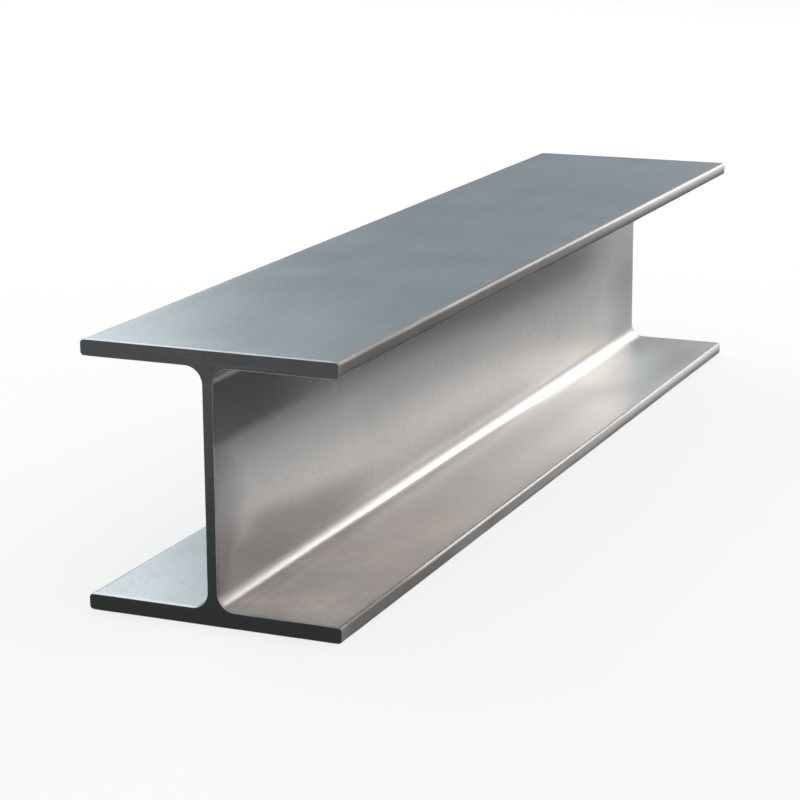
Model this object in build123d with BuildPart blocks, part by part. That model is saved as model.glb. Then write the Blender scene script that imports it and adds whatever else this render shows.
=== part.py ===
"""Hot-rolled wide-flange steel beam (an I- or H-section) with parallel flanges, sawn square at both ends.

The beam lies along X and stands on its lower flange. The origin is the middle of the underside.
All lengths are in millimetres.
"""

import os

from build123d import *

# Driving dimensions of the rolled section
depth = 200.0  # over the outer faces of both flanges
flange_width = 200.0
flange_thickness = 12.0
web_thickness = 8.0
root_radius = 13.0  # where the web runs into a flange
toe_radius = 3.0  # rolled edges of the flange tips

# Driving dimension of the cut piece
length = 950.0

# Worked out from the driving dimensions, measured from the middle of the section
half_depth = depth / 2
half_width = flange_width / 2
half_web = web_thickness / 2
flange_inner = half_depth - flange_thickness  # the flange's inner face
toe_round = min(toe_radius, 0.49 * flange_thickness)  # two roundings share each flange tip

# The section stands across the beam at mid-length, with the sketch's origin at half the depth
section_plane = Plane.YZ.shift_origin((0, 0, half_depth))

with BuildPart() as i_beam:
    with BuildSketch(section_plane) as section:
        with BuildLine() as outline:
            # One quarter of the outline, from the middle of the top face to the middle of the web's side
            outer_face = Line((0, half_depth), (half_width - toe_round, half_depth))
            outer_toe = TangentArc(
                outer_face @ 1, (half_width, half_depth - toe_round), tangent=outer_face % 1
            )
            tip = Line(outer_toe @ 1, (half_width, flange_inner + toe_round))
            inner_toe = TangentArc(
                tip @ 1, (half_width - toe_round, flange_inner), tangent=tip % 1
            )
            inner_face = Line(inner_toe @ 1, (half_web + root_radius, flange_inner))
            root = TangentArc(
                inner_face @ 1, (half_web, flange_inner - root_radius), tangent=inner_face % 1
            )
            Line(root @ 1, (half_web, 0))
            # Both sides of the web are alike, and so are both flanges
            mirror(about=Plane.YZ)
            mirror(about=Plane.XZ)
        make_face()
    extrude(amount=length / 2, both=True)

i_beam.part.label = "i_beam"

os.makedirs("parts", exist_ok=True)
export_step(i_beam.part, "parts/i_beam.step")
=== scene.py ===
"""The looks of a hot-rolled wide-flange steel beam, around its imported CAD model. Lengths are in metres."""

import math
from collections import namedtuple

import bmesh
import bpy
import numpy as np
from mathutils import Euler, Matrix, Vector, noise


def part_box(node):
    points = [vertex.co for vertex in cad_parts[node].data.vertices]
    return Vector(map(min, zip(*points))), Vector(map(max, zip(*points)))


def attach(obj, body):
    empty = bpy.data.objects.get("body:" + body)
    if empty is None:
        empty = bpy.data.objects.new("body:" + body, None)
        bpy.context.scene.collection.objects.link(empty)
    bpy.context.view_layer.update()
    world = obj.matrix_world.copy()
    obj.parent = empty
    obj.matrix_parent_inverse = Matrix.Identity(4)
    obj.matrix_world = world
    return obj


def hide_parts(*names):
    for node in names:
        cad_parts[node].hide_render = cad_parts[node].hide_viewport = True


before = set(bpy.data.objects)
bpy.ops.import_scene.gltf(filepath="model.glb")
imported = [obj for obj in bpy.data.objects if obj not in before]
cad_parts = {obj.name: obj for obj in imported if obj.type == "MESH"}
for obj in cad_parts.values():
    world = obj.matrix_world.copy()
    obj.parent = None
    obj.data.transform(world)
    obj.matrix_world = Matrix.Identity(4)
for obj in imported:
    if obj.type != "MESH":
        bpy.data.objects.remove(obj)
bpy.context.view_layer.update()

# The beam's size comes from the frame, and the section's own sizes are those of the rolled profile
low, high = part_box("i_beam")
length = high.x - low.x
width = high.y - low.y
depth = high.z - low.z
flange_thickness = 0.012
web_thickness = 0.008
root_radius = 0.013
toe_radius = 0.003

half_length = length / 2
half_width = width / 2
half_depth = depth / 2
half_web = web_thickness / 2
flange_inner = half_depth - flange_thickness

# How finely the mesh follows the section and the length
outer_face_steps = 20
toe_steps = 8
tip_steps = 3
inner_face_steps = 16
root_steps = 16
web_steps = 15
station_gap = 0.005

# What the mill and the saw leave on the shape: depths, and gaps along the beam and round the section
roll_wave = 0.00016
roll_wave_gaps = (0.110, 0.080)
roll_wave_seed = 3.5
toe_wave = 0.00022
toe_wave_gaps = (0.030, 0.020)
toe_wave_seed = 8.5
edge_break = 0.0003
edge_unevenness = 0.6
edge_wave_gaps = (1.0, 0.012)
near_edge_seed = 13.5
far_edge_seed = 17.5

# Where the end faces lie on the flat map, beside the unrolled surface
map_gap = 0.002
end_spacing = 1.05 * width

# The camera that took the photo, solved from the beam's straight edges
camera_place = Vector((-1.9098, -0.7587, 0.5752))
camera_heading = 23.174  # degrees to the left of the beam's length
camera_down = 14.253
camera_roll = -0.329
camera_lens = 108.89  # millimetres
camera_sensor = 36  # millimetres

# Colours of the rolled steel
bare_dark = (0.345, 0.349, 0.352, 1)
bare_pale = (0.416, 0.420, 0.422, 1)
# Serves the steel's grain and also a painted highlight at the front of the web
bright_grain_and_sheen = (0.51, 0.51, 0.51, 1)
dark_speck = (0.15, 0.145, 0.14, 1)
# A painted highlight on the root fillets
painted_root_highlight = (0.88, 0.875, 0.87, 1)
# Painted shade on the web: under the upper flange, low down near the front and at the ends
painted_web_shade = (0.150, 0.152, 0.158, 1)
# A painted highlight on the far part of each tip
painted_tip_highlight = (0.80, 0.795, 0.79, 1)
# Grime on the tips together with painted shade, darker low down and, by the last colour, towards the floor
grime_and_shade_low = (0.125, 0.120, 0.116, 1)
grime_and_shade_high = (0.180, 0.174, 0.168, 1)
painted_shade_at_floor = (0.05, 0.048, 0.046, 1)
# Painted sheen, painted highlight and painted shade on the right lower flange
painted_ledge_sheen = (0.74, 0.731, 0.722, 1)
painted_ledge_highlight = (0.95, 0.94, 0.93, 1)
painted_far_shade = (0.44, 0.428, 0.405, 1)
# Dust on the ledge that also carries painted light, with a painted highlight near the tip
dust_and_sheen_dark = (0.483, 0.440, 0.420, 1)
dust_and_sheen_pale = (0.552, 0.512, 0.484, 1)
painted_dust_highlight = (0.70, 0.66, 0.632, 1)
# A painted highlight at the foot of the root, on the lower flange
painted_foot_highlight = (0.78, 0.765, 0.755, 1)
# Painted shade along the front of the ledge
painted_front_shade = (0.195, 0.190, 0.185, 1)

# Colours of the sawn ends
sawn_dark = (0.048, 0.051, 0.056, 1)
sawn_pale = (0.070, 0.072, 0.077, 1)
saw_line = (0.095, 0.095, 0.099, 1)
sawn_grain = (0.11, 0.11, 0.11, 1)
saw_score = (0.15, 0.15, 0.15, 1)
# Painted shade on the sawn ends, darker towards the bottom
sawn_painted_shade = (0.014, 0.014, 0.013, 1)

# How the rolled steel takes the light
steel_roughness = 0.298
roughness_spread = 0.012
grime_roughness = 0.15  # added by the tips' grime
far_haze = 0.12  # added on the far part of the right lower flange
web_shade_cover = 0.7  # how much of the steel's colour the painted shade on the web hides
ledge_paint_cover = 0.88  # how much of the steel's colour the painted light on the right lower flange hides
dust_and_sheen_cover = 0.8  # how much of the steel's colour the dust film, which also carries painted light, hides
dust_dulling = 0.7  # how much of the steel's metallic shine the dust film takes
steel_edge_tint = (0.8, 0.8, 0.8, 1)
steel_bump = {"Strength": 0.2, "Distance": 0.00005}

# How the sawn ends take the light
sawn_roughness = 0.52
sawn_roughness_spread = 0.06
sawn_metal = 0.6
sawn_bump = {"Strength": 0.4, "Distance": 0.00008}


def arc(centre, radius, start, end, steps):
    """Points along an arc from angle start to angle end, in degrees, without its first point."""
    angles = np.radians(np.linspace(start, end, steps + 1)[1:])
    return centre + radius * np.column_stack([np.cos(angles), np.sin(angles)])


def run(start, end, steps):
    """Points along a straight run, without its first point."""
    share = np.linspace(0, 1, steps + 1)[1:, None]
    return np.array(start) + share * (np.array(end) - np.array(start))


def section_outline():
    """The section's outline as points (y, height above mid-depth), round from the middle of the underside."""
    toe_line = half_width - toe_radius
    outer_toe = np.array([toe_line, half_depth - toe_radius])
    inner_toe = np.array([toe_line, flange_inner + toe_radius])
    root = np.array([half_web + root_radius, flange_inner - root_radius])
    quarter = np.vstack([
        [[0, half_depth]],
        run((0, half_depth), (toe_line, half_depth), outer_face_steps),
        arc(outer_toe, toe_radius, 90, 0, toe_steps),
        run((half_width, outer_toe[1]), (half_width, inner_toe[1]), tip_steps),
        arc(inner_toe, toe_radius, 0, -90, toe_steps),
        run((toe_line, flange_inner), (root[0], flange_inner), inner_face_steps),
        arc(root, root_radius, 90, 180, root_steps),
        run((half_web, root[1]), (half_web, 0), web_steps),
    ])
    right_half = np.vstack([quarter, quarter[-2::-1] * (1, -1)])
    whole = np.vstack([right_half, right_half[-2:0:-1] * (-1, 1)])
    start = len(right_half) - 1
    return np.roll(whole, -start, axis=0)


def outward_normals(outline):
    """Unit normals of a closed outline that runs clockwise, seen with y to the right."""
    along = np.roll(outline, -1, axis=0) - np.roll(outline, 1, axis=0)
    across = np.column_stack([-along[:, 1], along[:, 0]])
    return across / np.linalg.norm(across, axis=1, keepdims=True)


def wander(x, s, gaps, seed):
    """Smooth noise from -1 to 1, over the length x and the distance s round the section."""
    return noise.noise(Vector((x / gaps[0], s / gaps[1], seed)))


def rolled_surface():
    """Rows of points along the beam, with the mill's waviness and the broken edges of the sawn ends."""
    outline = section_outline()
    normals = outward_normals(outline)
    around = np.concatenate([[0], np.cumsum(np.linalg.norm(np.diff(outline, axis=0), axis=1))])
    underside = outline[:, 1] < -half_depth + 1e-6
    on_toe = np.abs(outline[:, 0]) > half_width - 1.5 * toe_radius

    inner_stations = np.linspace(-half_length, half_length, round(length / station_gap) + 1)[1:-1]
    near_rows = [(-half_length + x, inset) for x, inset in break_profile()]
    far_rows = [(-x, inset) for x, inset in reversed(near_rows)]
    rows = near_rows + [(x, 0.0) for x in inner_stations] + far_rows

    surface = np.zeros((len(rows), len(outline), 3))
    for row, (x, inset) in enumerate(rows):
        for column, (y, z) in enumerate(outline):
            s = around[column]
            shift = 0.0
            # The waves only go inwards, so that the beam stays inside its CAD box
            if not underside[column]:
                shift += roll_wave * (wander(x, s, roll_wave_gaps, roll_wave_seed) - 1) / 2
            if on_toe[column]:
                shift += toe_wave * (wander(x, s, toe_wave_gaps, toe_wave_seed) - 1) / 2
            edge_seed = near_edge_seed if x < 0 else far_edge_seed
            shift -= inset * (1 + edge_unevenness * wander(x, s, edge_wave_gaps, edge_seed))
            across, up = shift * normals[column]
            surface[row, column] = (x, y + across, z + half_depth + up)
    return surface, around


def break_profile():
    """The broken edge of a sawn end, as (distance from the end face, inset of the section)."""
    angles = np.radians([0, 30, 60, 90])
    return [(edge_break * (1 - math.sin(a)), edge_break * (1 - math.cos(a))) for a in angles[::-1]]


def make_beam():
    """The beam as one closed mesh, with a flat map for its finish and its own material on the sawn ends."""
    surface, around = rolled_surface()
    row_count, column_count = surface.shape[:2]
    mesh = bpy.data.meshes.new("rolled_beam")
    shape = bmesh.new()
    points = [[shape.verts.new(p) for p in row] for row in surface]
    flat_map = shape.loops.layers.uv.new("OFBake")
    full_row = surface[10]  # past the broken edge
    perimeter = around[-1] + np.linalg.norm(full_row[0] - full_row[-1])
    map_side = max(perimeter, length + depth)

    for r in range(row_count - 1):
        for c in range(column_count):
            n = (c + 1) % column_count
            face = shape.faces.new([points[r][c], points[r][n], points[r + 1][n], points[r + 1][c]])
            face.smooth = True
            ends = (around[c], around[c + 1] if n else perimeter)
            corners = [(ends[0], r), (ends[1], r), (ends[1], r + 1), (ends[0], r + 1)]
            for loop, (s, at) in zip(face.loops, corners):
                loop[flat_map].uv = (s / map_side, (surface[at, 0, 0] + half_length) / map_side)

    ends = [shape.faces.new(points[0][::-1]), shape.faces.new(points[-1])]
    for number, end in enumerate(ends):
        end.material_index = 1
        for loop in end.loops:
            across = loop.vert.co.y + half_width + number * end_spacing
            loop[flat_map].uv = (across / map_side, (loop.vert.co.z + length + map_gap) / map_side)
    bmesh.ops.recalc_face_normals(shape, faces=shape.faces)
    bmesh.ops.triangulate(shape, faces=ends, ngon_method="BEAUTY")
    shape.to_mesh(mesh)
    shape.free()
    beam = bpy.data.objects.new("rolled_beam", mesh)
    bpy.context.scene.collection.objects.link(beam)
    return beam


def node(tree, kind, inputs=None, **settings):
    """Adds a node. An input's value is a number, a colour or another node's output."""
    made = tree.nodes.new(kind)
    for name, value in settings.items():
        setattr(made, name, value)
    for name, value in (inputs or {}).items():
        socket = made.inputs[name]
        if isinstance(value, bpy.types.NodeSocket):
            tree.links.new(value, socket)
        else:
            socket.default_value = value
    return made


def math_node(tree, operation, *values):
    """The output of a Math node."""
    return node(tree, "ShaderNodeMath", dict(enumerate(values)), operation=operation).outputs[0]


def chain(tree, operation, first, *others):
    """The output of Math nodes that take in one value after another."""
    for other in others:
        first = math_node(tree, operation, first, other)
    return first


def product(tree, *values):
    """The product of several values."""
    return chain(tree, "MULTIPLY", *values)


def total(tree, *values):
    """The sum of several values."""
    return chain(tree, "ADD", *values)


def greatest(tree, *values):
    """The greatest of several values."""
    return chain(tree, "MAXIMUM", *values)


def rest_of(tree, share):
    """What a share leaves over of 1."""
    return math_node(tree, "SUBTRACT", 1.0, share)


def ramp(tree, value, start, end, low=0.0, high=1.0):
    """Maps value from start..end to low..high with soft ends, and holds it there."""
    inputs = {"Value": value, "From Min": start, "From Max": end, "To Min": low, "To Max": high}
    made = node(tree, "ShaderNodeMapRange", inputs, interpolation_type="SMOOTHSTEP")
    return made.outputs["Result"]


def mix(tree, share, first, second):
    """A colour mixed from two."""
    made = node(tree, "ShaderNodeMix", data_type="RGBA")
    for socket, value in ((made.inputs[0], share), (made.inputs[6], first), (made.inputs[7], second)):
        if isinstance(value, bpy.types.NodeSocket):
            tree.links.new(value, socket)
        else:
            socket.default_value = value
    return made.outputs[2]


def pattern(tree, coords, scale, detail=2.0, roughness=0.5, stretch=(1, 1, 1)):
    """Noise over object coordinates, from 0 to 1."""
    placed = node(tree, "ShaderNodeMapping", {"Vector": coords, "Scale": stretch}).outputs[0]
    inputs = {"Vector": placed, "Scale": scale, "Detail": detail, "Roughness": roughness}
    return node(tree, "ShaderNodeTexNoise", inputs).outputs["Fac"]


def new_material(name):
    """A material with one Principled shader, and its tree."""
    material = bpy.data.materials.new(name)
    material.use_nodes = True
    tree = material.node_tree
    tree.nodes.clear()
    shader = node(tree, "ShaderNodeBsdfPrincipled")
    node(tree, "ShaderNodeOutputMaterial", {"Surface": shader.outputs["BSDF"]})
    return material, tree, shader


def object_coords(tree):
    """Where a point of the surface lies in the beam's own frame."""
    return node(tree, "ShaderNodeTexCoord").outputs["Object"]


Place = namedtuple("Place", "x y z from_front across up_flange")


def beam_place(tree, coords):
    """A point's place: along, across and up the beam, from its front, from mid-width, and up its flange."""
    axes = node(tree, "ShaderNodeSeparateXYZ", {"Vector": coords}).outputs
    from_front = total(tree, axes["X"], half_length)
    across = math_node(tree, "ABSOLUTE", axes["Y"])
    up_flange = math_node(tree, "MODULO", axes["Z"], depth - flange_thickness)
    return Place(axes["X"], axes["Y"], axes["Z"], from_front, across, up_flange)


def on_web(tree, place):
    """1 on the web's faces. It fades out in the roots, but near the front it reaches down the lower root."""
    clear_of_roots = ramp(tree, place.across, half_web + 0.6 * root_radius, half_web + 0.2 * root_radius)
    above_flange = math_node(tree, "SUBTRACT", place.z, flange_thickness)
    above_root = ramp(tree, above_flange, -0.3 * root_radius, 1.3 * root_radius)
    near_front = ramp(tree, place.from_front, 0.05, 0.18, 0.7, 0.0)
    below_top = ramp(tree, place.z, depth - 0.5 * flange_thickness, depth - flange_thickness)
    return product(tree, clear_of_roots, greatest(tree, above_root, near_front), below_top)


def web_shade_mask(tree, place, clouds):
    """How much painted shade lies on the web: high up, low down near the front, and at the two ends."""
    from_front = place.from_front
    height = total(tree, place.z, ramp(tree, clouds, 0.3, 0.7, -0.0015, 0.0015))

    # Painted shade under the upper flange reaches lower towards the far end and is densest in the front
    # corner
    shade_height = total(tree, height, ramp(tree, from_front, 0.10, 0.75, -0.008, 0.018))
    thin_shade = ramp(tree, shade_height, 0.094, 0.139, 0.0, 0.85)
    dense_shade = ramp(tree, shade_height, 0.118, 0.143, 0.0, 0.35)
    before_end = ramp(tree, from_front, 0.75, 0.89, 1.0, 0.1)
    shade = product(tree, total(tree, thin_shade, dense_shade), before_end)
    in_corner = ramp(tree, from_front, 0.08, 0.30, 1.0, 0.0)
    corner = product(tree, ramp(tree, height, 0.120, 0.138, 0.0, 1.43), in_corner)

    # A thin veil of painted shade covers the middle of the length, and only its upper part further back
    veil = ramp(tree, from_front, 0.16, 0.34, 0.0, 0.36)
    veil = product(tree, veil, ramp(tree, from_front, 0.43, 0.66, 1.0, 0.15))
    upper_part = ramp(tree, height, 0.045, 0.095)
    veil = product(tree, veil, greatest(tree, ramp(tree, from_front, 0.57, 0.73, 1.0, 0.0), upper_part))

    # A patch of painted shade low down near the front has an upper edge that slopes down along the beam
    slope = total(tree, height, product(tree, from_front, 0.105))
    sloping = product(tree, ramp(tree, slope, 0.063, 0.081, 0.70, 0.0), ramp(tree, from_front, 0.015, 0.08))
    level = ramp(tree, height, 0.044, 0.064, 0.70, 0.0)
    patch = product(tree, greatest(tree, sloping, level), ramp(tree, from_front, 0.19, 0.37, 1.0, 0.0))

    # Strips of painted shade at the two ends, the front one with a wandering edge
    front_edge = total(tree, from_front, ramp(tree, clouds, 0.3, 0.7, -0.010, 0.010))
    front = ramp(tree, front_edge, 0.006, 0.046, 1.0, 0.0)
    low_down = ramp(tree, height, 0.075, 0.115, 1.0, 0.0)
    back = product(tree, ramp(tree, from_front, 0.84, 0.93, 0.0, 0.7), low_down)
    return greatest(tree, shade, corner, veil, patch, front, back)


def root_highlight_mask(tree, place):
    """How much painted highlight lies on the root fillets: towards the flange, on the shoulder and up the
    web.
    """
    x, across = place.x, place.across
    near_flange = math_node(tree, "MINIMUM", place.z, math_node(tree, "SUBTRACT", depth, place.z))
    rise = math_node(tree, "SUBTRACT", near_flange, flange_thickness)
    inside = product(
        tree,
        ramp(tree, rise, -0.3 * root_radius, 0.0),
        ramp(tree, rise, 5.0 * root_radius, root_radius),
        ramp(tree, across, half_web + 1.6 * root_radius, half_web + 0.5 * root_radius),
    )
    past_middle = ramp(tree, rise, 0.4 * root_radius, 0.6 * root_radius)
    web_part = product(tree, past_middle, ramp(tree, x, 0.12, 0.38, 0.0, 0.27))
    shoulder = product(
        tree,
        past_middle,
        ramp(tree, rise, 1.5 * root_radius, 0.7 * root_radius),
        ramp(tree, x, -0.40, -0.20, 0.0, 0.3),
    )
    flange_part = product(
        tree,
        ramp(tree, across, half_web + 0.2 * root_radius, half_web + 0.45 * root_radius),
        ramp(tree, x, -0.32, -0.15),
        ramp(tree, x, -0.02, 0.10, 1.0, 0.75),
    )
    return product(tree, inside, greatest(tree, web_part, shoulder, flange_part))


def tip_grime_and_shade(tree, place, clouds):
    """How dark the flange tips are from grime and painted shade, most at the front and low down, and where a
    painted highlight brightens them.
    """
    x, across, up = place.x, place.across, place.up_flange
    on_tip = ramp(tree, across, half_width - 1.3 * toe_radius, half_width - 0.3 * toe_radius)
    lower_half = ramp(tree, up, 0.1 * flange_thickness, 0.8 * flange_thickness, 1.0, 0.0)
    front_half = greatest(tree, ramp(tree, x, -0.35, 0.35, 1.0, 0.0), 0.25)
    patchy = ramp(tree, clouds, 0.35, 0.6, 0.8, 1.0)
    grimy_and_shaded = product(tree, on_tip, greatest(tree, lower_half, front_half), patchy)

    # A painted highlight brightens the far part of each tip, below its upper rounding
    tip_highlight = product(
        tree,
        ramp(tree, up, 0.45 * flange_thickness, 0.8 * flange_thickness, 0.0, 0.8),
        ramp(tree, up, 0.95 * flange_thickness, 0.80 * flange_thickness),
        ramp(tree, x, -0.05, 0.35),
        ramp(tree, across, half_width - 0.4 * toe_radius, half_width - 0.1 * toe_radius),
    )
    grimy_and_shaded = product(tree, grimy_and_shaded, rest_of(tree, tip_highlight))

    # Grime and painted shade lie on the upper rounding too, dimming its highlight, but are lightened along
    # the front half of the lower flange
    upper_rounding = product(
        tree,
        ramp(tree, up, 0.78 * flange_thickness, 0.95 * flange_thickness, 0.0, 0.8),
        ramp(tree, across, half_width - 1.35 * toe_radius, half_width - 0.85 * toe_radius),
        ramp(tree, x, -0.40, -0.18),
        ramp(tree, x, -0.05, 0.25, 1.0, 0.5),
    )
    lightened = product(
        tree,
        ramp(tree, up, 0.75 * flange_thickness, 0.88 * flange_thickness, 0.0, 0.5),
        ramp(tree, place.z, 2 * flange_thickness, 1.5 * flange_thickness),
        ramp(tree, x, -0.38, -0.31),
        ramp(tree, x, 0.0, 0.14, 1.0, 0.0),
    )
    grimy_and_shaded = product(tree, greatest(tree, grimy_and_shaded, upper_rounding), rest_of(tree, lightened))
    return grimy_and_shaded, tip_highlight


def right_ledge(tree, place, root_highlight):
    """1 on the right of the lower flange's upper face. It fades out at the root's painted highlight and at
    the tip.
    """
    normal = node(tree, "ShaderNodeNewGeometry").outputs["Normal"]
    facing_up = node(tree, "ShaderNodeSeparateXYZ", {"Vector": normal}).outputs["Z"]
    return product(
        tree,
        ramp(tree, facing_up, 0.7, 0.98),
        ramp(tree, place.z, 2.5 * flange_thickness, 2 * flange_thickness),
        ramp(tree, place.y, 0.0, -0.01),
        rest_of(tree, root_highlight),
        ramp(tree, place.across, half_width - 0.6 * toe_radius, half_width - 1.2 * toe_radius),
    )


def ledge_painted_light(tree, place, ledge, tip_side):
    """The share and colour of the ledge's painted light: a painted sheen, palest as a painted highlight, and
    painted shade at the far end.
    """
    x, y = place.x, place.y
    reach = greatest(tree, ramp(tree, y, -0.025, -0.085, 0.45, 1.0), ramp(tree, x, 0.15, 0.28))
    share = product(tree, ledge, ramp(tree, x, -0.44, -0.16), reach)
    near_tip = product(
        tree,
        ramp(tree, y, -0.035, -0.075),
        ramp(tree, x, -0.14, 0.02, 0.0, 0.8),
        ramp(tree, x, 0.17, 0.30, 1.0, 0.0),
    )
    near_root = product(tree, rest_of(tree, tip_side), ramp(tree, x, 0.20, 0.30, 0.0, 0.5))
    colour = mix(tree, greatest(tree, near_tip, near_root), painted_ledge_sheen, painted_ledge_highlight)
    far_along = total(tree, x, product(tree, tip_side, 0.08))
    return share, mix(tree, ramp(tree, far_along, 0.35, 0.48), colour, painted_far_shade)


def dust_and_painted_light(tree, place, coords, flat, tip_side, mottle):
    """The share and colour of the ledge's dust film, which also carries painted light: it thins out along the
    beam, first at the root, and is paler near the tip as a painted highlight.
    """
    x = place.x
    clouded = ramp(tree, pattern(tree, coords, 20.0, 2.0, 0.5), 0.35, 0.65, 0.6, 1.0)
    back_along = math_node(tree, "SUBTRACT", x, product(tree, tip_side, 0.16))
    thinning = ramp(tree, back_along, -0.36, -0.02, 1.0, 0.15)
    at_far_end = ramp(tree, x, 0.28, 0.45, 0.0, 0.5)
    share = product(tree, flat, clouded, greatest(tree, thinning, at_far_end))
    colour = mix(tree, ramp(tree, mottle, 0.35, 0.65), dust_and_sheen_dark, dust_and_sheen_pale)
    tip_sheen_share = product(tree, tip_side, ramp(tree, x, -0.42, -0.12), ramp(tree, x, 0.20, 0.42, 1.0, 0.0))
    return share, mix(tree, tip_sheen_share, colour, painted_dust_highlight)


def rolled_steel():
    """Bare mill-finish steel: painted shade on the web, painted highlights on the roots, tips with grime and
    painted shade, and a dusty right lower flange with painted light.
    """
    material, tree, shader = new_material("rolled_steel")
    coords = object_coords(tree)
    place = beam_place(tree, coords)
    x, y = place.x, place.y
    streaks = pattern(tree, coords, 1.0, 3.0, 0.5, (2.0, 45, 45))
    clouds = pattern(tree, coords, 11.0, 3.0, 0.5)
    mottle = pattern(tree, coords, 130.0, 3.0, 0.6)
    grain = pattern(tree, coords, 480.0, 2.0, 0.7)
    specks = ramp(tree, pattern(tree, coords, 420.0, 1.0, 0.5), 0.68, 0.76, 0.0, 0.25)

    # The bare steel
    tone = total(tree, product(tree, streaks, 0.30), product(tree, clouds, 0.40), product(tree, mottle, 0.30))
    colour = mix(tree, ramp(tree, tone, 0.38, 0.62), bare_dark, bare_pale)
    colour = mix(tree, ramp(tree, grain, 0.32, 0.68, 0.0, 0.55), colour, bright_grain_and_sheen)
    colour = mix(tree, specks, colour, dark_speck)

    # The web, a little brighter at the front as a painted highlight, with painted highlights on its roots and
    # painted shade over it
    web = on_web(tree, place)
    colour = mix(tree, product(tree, web, ramp(tree, x, -0.40, -0.20, 0.4, 0.0)), colour, bright_grain_and_sheen)
    root_highlight = root_highlight_mask(tree, place)
    colour = mix(tree, root_highlight, colour, painted_root_highlight)
    web_shade = product(tree, web_shade_mask(tree, place, clouds), web, web_shade_cover)
    colour = mix(tree, web_shade, colour, painted_web_shade)

    # The flange tips: grime with painted shade, darker low down and towards the floor, and a painted
    # highlight on their far parts
    grimy_and_shaded, tip_highlight = tip_grime_and_shade(tree, place, clouds)
    tip_darkening = mix(tree, ramp(tree, place.up_flange, 0.0, 0.5 * flange_thickness), grime_and_shade_low, grime_and_shade_high)
    tip_darkening = mix(tree, ramp(tree, place.z, depth, 0.0, 0.0, 0.3), tip_darkening, painted_shade_at_floor)
    colour = mix(tree, tip_highlight, colour, painted_tip_highlight)
    colour = mix(tree, grimy_and_shaded, colour, tip_darkening)

    # The right of the lower flange: painted sheen and highlight, dust that also carries painted light, a
    # painted highlight at the foot of the root and a strip of painted shade at the front
    flat = right_ledge(tree, place, root_highlight)
    ledge = product(tree, flat, ledge_paint_cover)
    tip_side = ramp(tree, y, -0.045, -0.09)
    ledge_light, ledge_light_colour = ledge_painted_light(tree, place, ledge, tip_side)
    colour = mix(tree, ledge_light, colour, ledge_light_colour)
    dust_and_sheen, dust_and_sheen_colour = dust_and_painted_light(tree, place, coords, flat, tip_side, mottle)
    colour = mix(tree, product(tree, dust_and_sheen, dust_and_sheen_cover), colour, dust_and_sheen_colour)
    # A painted highlight on the ledge beside the root
    foot_highlight = product(
        tree,
        ledge,
        ramp(tree, y, -0.030, -0.019, 0.0, 0.5),
        ramp(tree, x, -0.28, -0.14, 0.4, 1.0),
        ramp(tree, x, -0.05, 0.12, 1.0, 0.0),
    )
    colour = mix(tree, foot_highlight, colour, painted_foot_highlight)
    # Painted shade in a strip at the front of the ledge
    front_shade = product(tree, ledge, ramp(tree, place.from_front, 0.010, 0.030, 0.3, 0.0))
    colour = mix(tree, front_shade, colour, painted_front_shade)

    metal = rest_of(tree, product(tree, dust_and_sheen, dust_dulling))
    roughness = total(
        tree,
        ramp(tree, clouds, 0.3, 0.7, -roughness_spread, roughness_spread),
        steel_roughness,
        product(tree, grimy_and_shaded, grime_roughness),
        product(tree, ledge, ramp(tree, x, 0.15, 0.35, 0.0, far_haze)),
    )
    height = total(tree, product(tree, mottle, 0.3), product(tree, grain, 0.2), product(tree, streaks, 0.5))
    bump = node(tree, "ShaderNodeBump", {"Height": height, **steel_bump})

    tree.links.new(colour, shader.inputs["Base Color"])
    tree.links.new(roughness, shader.inputs["Roughness"])
    tree.links.new(bump.outputs["Normal"], shader.inputs["Normal"])
    tree.links.new(metal, shader.inputs["Metallic"])
    shader.inputs["Specular Tint"].default_value = steel_edge_tint
    return material


def sawn_steel():
    """A dark sawn end: fine saw lines, dull blotches, a few brighter scores, and painted shade lower down."""
    material, tree, shader = new_material("sawn_steel")
    coords = object_coords(tree)
    height_up = node(tree, "ShaderNodeSeparateXYZ", {"Vector": coords}).outputs["Z"]
    lines = pattern(tree, coords, 1.0, 3.0, 0.6, (1, 6, 1400))
    scores = ramp(tree, pattern(tree, coords, 1.0, 1.0, 0.5, (1, 9, 380)), 0.62, 0.72)
    blotches = pattern(tree, coords, 40.0, 4.0, 0.6)
    grain = pattern(tree, coords, 600.0, 2.0, 0.7)
    colour = mix(tree, ramp(tree, blotches, 0.3, 0.7), sawn_dark, sawn_pale)
    colour = mix(tree, ramp(tree, lines, 0.3, 0.7, 0.0, 0.2), colour, saw_line)
    colour = mix(tree, ramp(tree, grain, 0.35, 0.65, 0.0, 0.25), colour, sawn_grain)
    colour = mix(tree, product(tree, scores, 0.15), colour, saw_score)
    # Painted shade, darker towards the bottom
    colour = mix(tree, ramp(tree, height_up, 0.0, 0.19, 0.85, 0.0), colour, sawn_painted_shade)
    uneven = ramp(tree, blotches, 0.3, 0.7, -sawn_roughness_spread, sawn_roughness_spread)
    roughness = total(tree, uneven, sawn_roughness)
    height = total(tree, lines, product(tree, scores, 0.6))
    bump = node(tree, "ShaderNodeBump", {"Height": height, **sawn_bump})
    tree.links.new(colour, shader.inputs["Base Color"])
    tree.links.new(roughness, shader.inputs["Roughness"])
    tree.links.new(bump.outputs["Normal"], shader.inputs["Normal"])
    shader.inputs["Metallic"].default_value = sawn_metal
    return material


def flat_piece(name, corners):
    """A flat piece of the set, from its corners in order."""
    mesh = bpy.data.meshes.new(name)
    mesh.from_pydata(corners, [], [tuple(range(len(corners)))])
    piece = bpy.data.objects.new(name, mesh)
    bpy.context.scene.collection.objects.link(piece)
    return piece


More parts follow.
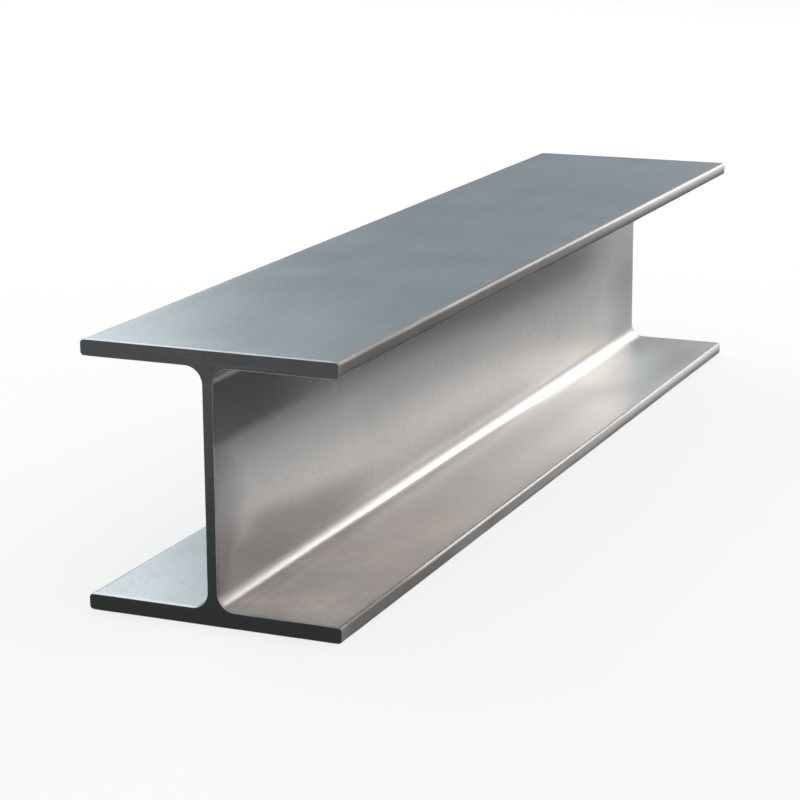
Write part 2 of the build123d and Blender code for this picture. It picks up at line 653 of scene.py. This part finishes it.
def make_floor():
    """A plain pale floor that reaches past the camera's view."""
    reach = 30.0
    floor_white = 0.75  # how much of the floor's brightness is its own and takes no shadow
    corners = [(-reach, -reach, 0), (reach, -reach, 0), (reach, reach, 0), (-reach, reach, 0)]
    floor = flat_piece("floor", corners)
    material, tree, shader = new_material("pale_floor")
    shader.inputs["Base Color"].default_value = (0.86, 0.86, 0.86, 1)
    shader.inputs["Roughness"].default_value = 0.9
    shader.inputs["Specular IOR Level"].default_value = 0.1
    rays = node(tree, "ShaderNodeLightPath").outputs
    seen = greatest(tree, rays["Is Camera Ray"], rays["Is Glossy Ray"], rays["Is Transmission Ray"])
    white = node(tree, "ShaderNodeEmission", {"Color": (1, 1, 1, 1), "Strength": 1.0})
    own_share = product(tree, seen, floor_white)
    inputs = {"Fac": own_share, 1: shader.outputs["BSDF"], 2: white.outputs["Emission"]}
    paper = node(tree, "ShaderNodeMixShader", inputs)
    output = next(n for n in tree.nodes if n.type == "OUTPUT_MATERIAL")
    tree.links.new(paper.outputs["Shader"], output.inputs["Surface"])
    floor.data.materials.append(material)


def make_card():
    """A dark card beside the beam, out of the camera's sight, which shades the bright metal."""
    height = 0.0015
    front, back = -0.12, 1.1
    inner_front, inner_back, outer = -0.205, -0.215, -0.55
    corners = [
        (front, inner_front, height),
        (back, inner_back, height),
        (back, outer, height),
        (front, outer, height),
    ]
    card = flat_piece("dark_card", corners)
    material, _, shader = new_material("dark_card")
    shader.inputs["Base Color"].default_value = (0.02, 0.02, 0.02, 1)
    shader.inputs["Roughness"].default_value = 0.9
    card.data.materials.append(material)
    card.visible_camera = False
    card.visible_shadow = False
    card.visible_diffuse = False


def soft_light(name, bearing, height_angle, distance, size, level, colour):
    """A rectangular soft light facing the beam. Its bearing is in degrees left of the beam's length."""
    lamp = bpy.data.lights.new(name, "AREA")
    lamp.shape = "RECTANGLE"
    lamp.size, lamp.size_y = size
    lamp.energy = level * math.pi * size[0] * size[1]
    lamp.color = colour
    light = bpy.data.objects.new(name, lamp)
    bearing, height_angle = math.radians(bearing), math.radians(height_angle)
    away = Vector((
        math.cos(height_angle) * math.cos(bearing),
        math.cos(height_angle) * math.sin(bearing),
        math.sin(height_angle),
    ))
    light.location = Vector((0, 0, half_depth)) + distance * away
    light.rotation_euler = (-away).to_track_quat("-Z", "Y").to_euler()
    bpy.context.scene.collection.objects.link(light)


def make_light():
    """A wide soft light behind on the left, smaller ones behind on the right and high up, a pale room."""
    soft_light(
        "back_left", bearing=59.0, height_angle=33, distance=5.0, size=(5.0, 3.6),
        level=1.9, colour=(0.92, 1.0, 1.0),
    )
    soft_light(
        "back_right", bearing=-16.0, height_angle=19, distance=4.0, size=(1.9, 1.5),
        level=2.8, colour=(1.0, 0.96, 0.935),
    )
    soft_light(
        "back_high", bearing=-2.0, height_angle=32, distance=3.8, size=(1.8, 0.8),
        level=2.0, colour=(1.0, 0.97, 0.95),
    )
    room_right = (1.15, 1.06, 1.00, 1)
    room_left = (0.39, 0.485, 0.545, 1)
    world = bpy.data.worlds.new("room")
    world.use_nodes = True
    tree = world.node_tree
    background = tree.nodes["Background"]
    way = node(tree, "ShaderNodeTexCoord").outputs["Generated"]
    leftward = node(tree, "ShaderNodeSeparateXYZ", {"Vector": way}).outputs["Y"]
    colour = mix(tree, ramp(tree, leftward, -0.30, 0.36), room_right, room_left)
    tree.links.new(colour, background.inputs["Color"])
    background.inputs["Strength"].default_value = 1.0
    bpy.context.scene.world = world


def make_camera():
    """The photo's camera."""
    data = bpy.data.cameras.new("camera")
    data.lens = camera_lens
    data.sensor_width = camera_sensor
    camera = bpy.data.objects.new("camera", data)
    turn = Euler((math.radians(90 - camera_down), 0, math.radians(camera_heading - 90))).to_matrix()
    turn = turn @ Matrix.Rotation(math.radians(camera_roll), 3, "Z")
    camera.matrix_world = Matrix.Translation(camera_place) @ turn.to_4x4()
    bpy.context.scene.collection.objects.link(camera)
    bpy.context.scene.camera = camera


beam = make_beam()
beam.data.materials.append(rolled_steel())
beam.data.materials.append(sawn_steel())
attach(beam, "root")
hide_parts("i_beam")

make_floor()
make_card()
make_light()
make_camera()
bpy.context.scene.view_settings.view_transform = "Standard"
